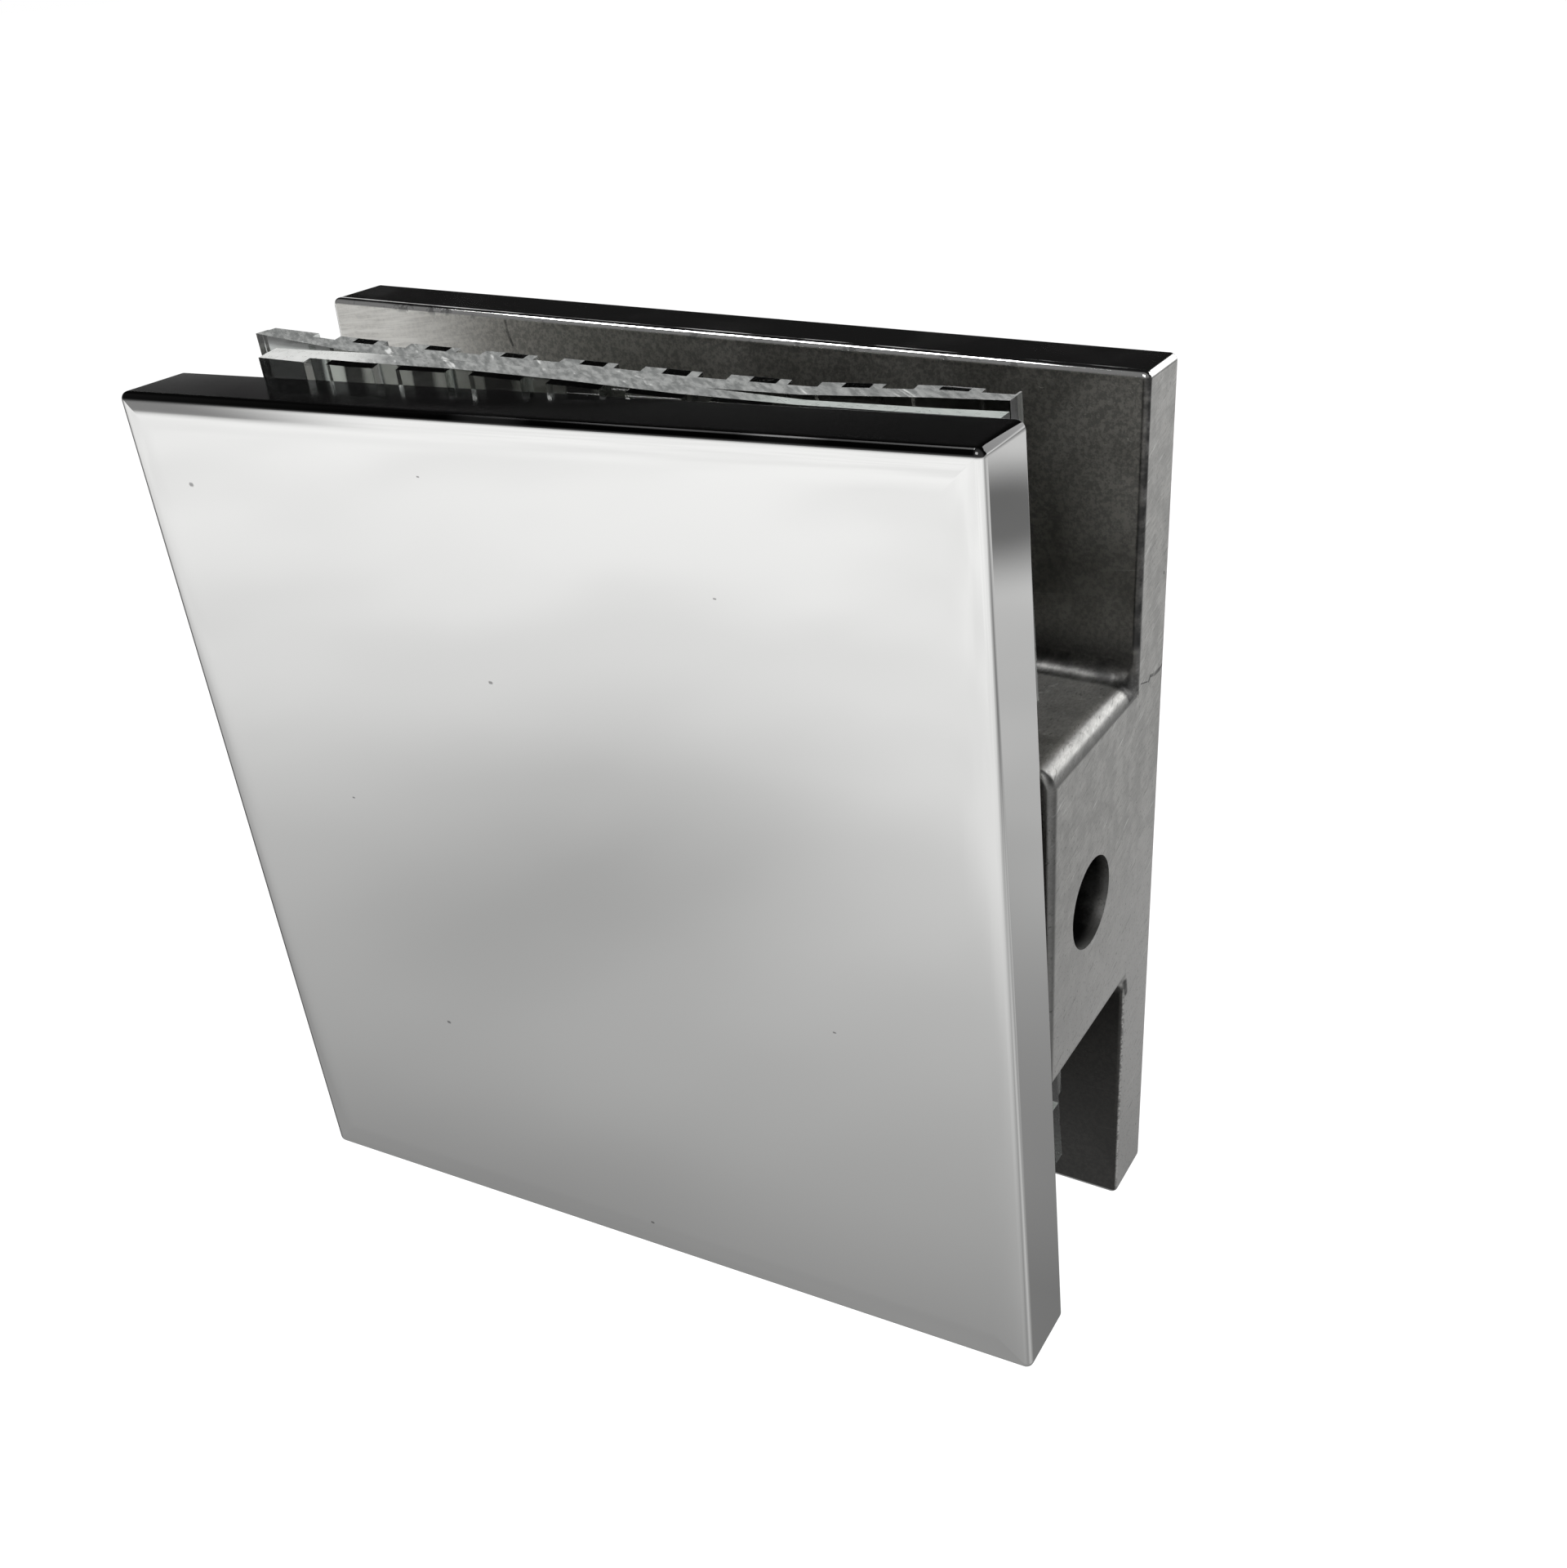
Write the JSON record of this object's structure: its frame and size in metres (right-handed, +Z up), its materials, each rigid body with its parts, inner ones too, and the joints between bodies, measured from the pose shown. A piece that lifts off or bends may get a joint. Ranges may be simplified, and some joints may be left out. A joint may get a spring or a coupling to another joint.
{
  "type": "wall-to-glass connector",
  "caption": "Square clamp that holds a glass panel between two metal plates and screws to a wall through a bored boss.",
  "frame": {"origin": "centre of the wall screw bore, on the face that meets the wall", "axes": "+X into the wall, polished front plate on the -Y side, +Z up, the glass comes in from -X"},
  "size_m": [0.0523, 0.02, 0.0525],
  "materials": {
    "polished_steel": "mirror polished",
    "satin_steel": "satin, with fine machining marks",
    "screw_steel": "satin",
    "clear_gasket": "clear and flexible, with rough cut edges"
  },
  "bodies": {
    "casting": {"body": "satin_steel"},
    "clamp_plate": {"front_plate": "polished_steel", "front_gasket": "clear_gasket", "rear_gasket": "clear_gasket"},
    "upper_screw": {"upper_clamp_screw": "screw_steel"},
    "lower_screw": {"lower_clamp_screw": "screw_steel"}
  },
  "joints": [
    {"name": "plate_clamp_slide", "type": "slide", "parent": "casting", "child": "clamp_plate", "axis": [0, 1, 0], "range_m": [-0.0022, 0.00048]},
    {"name": "upper_screw_turn", "type": "hinge", "parent": "casting", "child": "upper_screw", "pos_m": [-0.01929, 0.0096, 0.00659], "axis": [0, -1, 0], "range_deg": [-1135, 250]},
    {"name": "lower_screw_turn", "type": "hinge", "parent": "casting", "child": "lower_screw", "pos_m": [-0.01871, 0.0096, -0.00539], "axis": [0, -1, 0], "range_deg": [-1135, 250]}
  ],
  "couplings": [
    {"joint": "upper_screw_turn", "follows": "plate_clamp_slide", "rad_per_m": 8976},
    {"joint": "lower_screw_turn", "follows": "plate_clamp_slide", "rad_per_m": 8976}
  ]
}
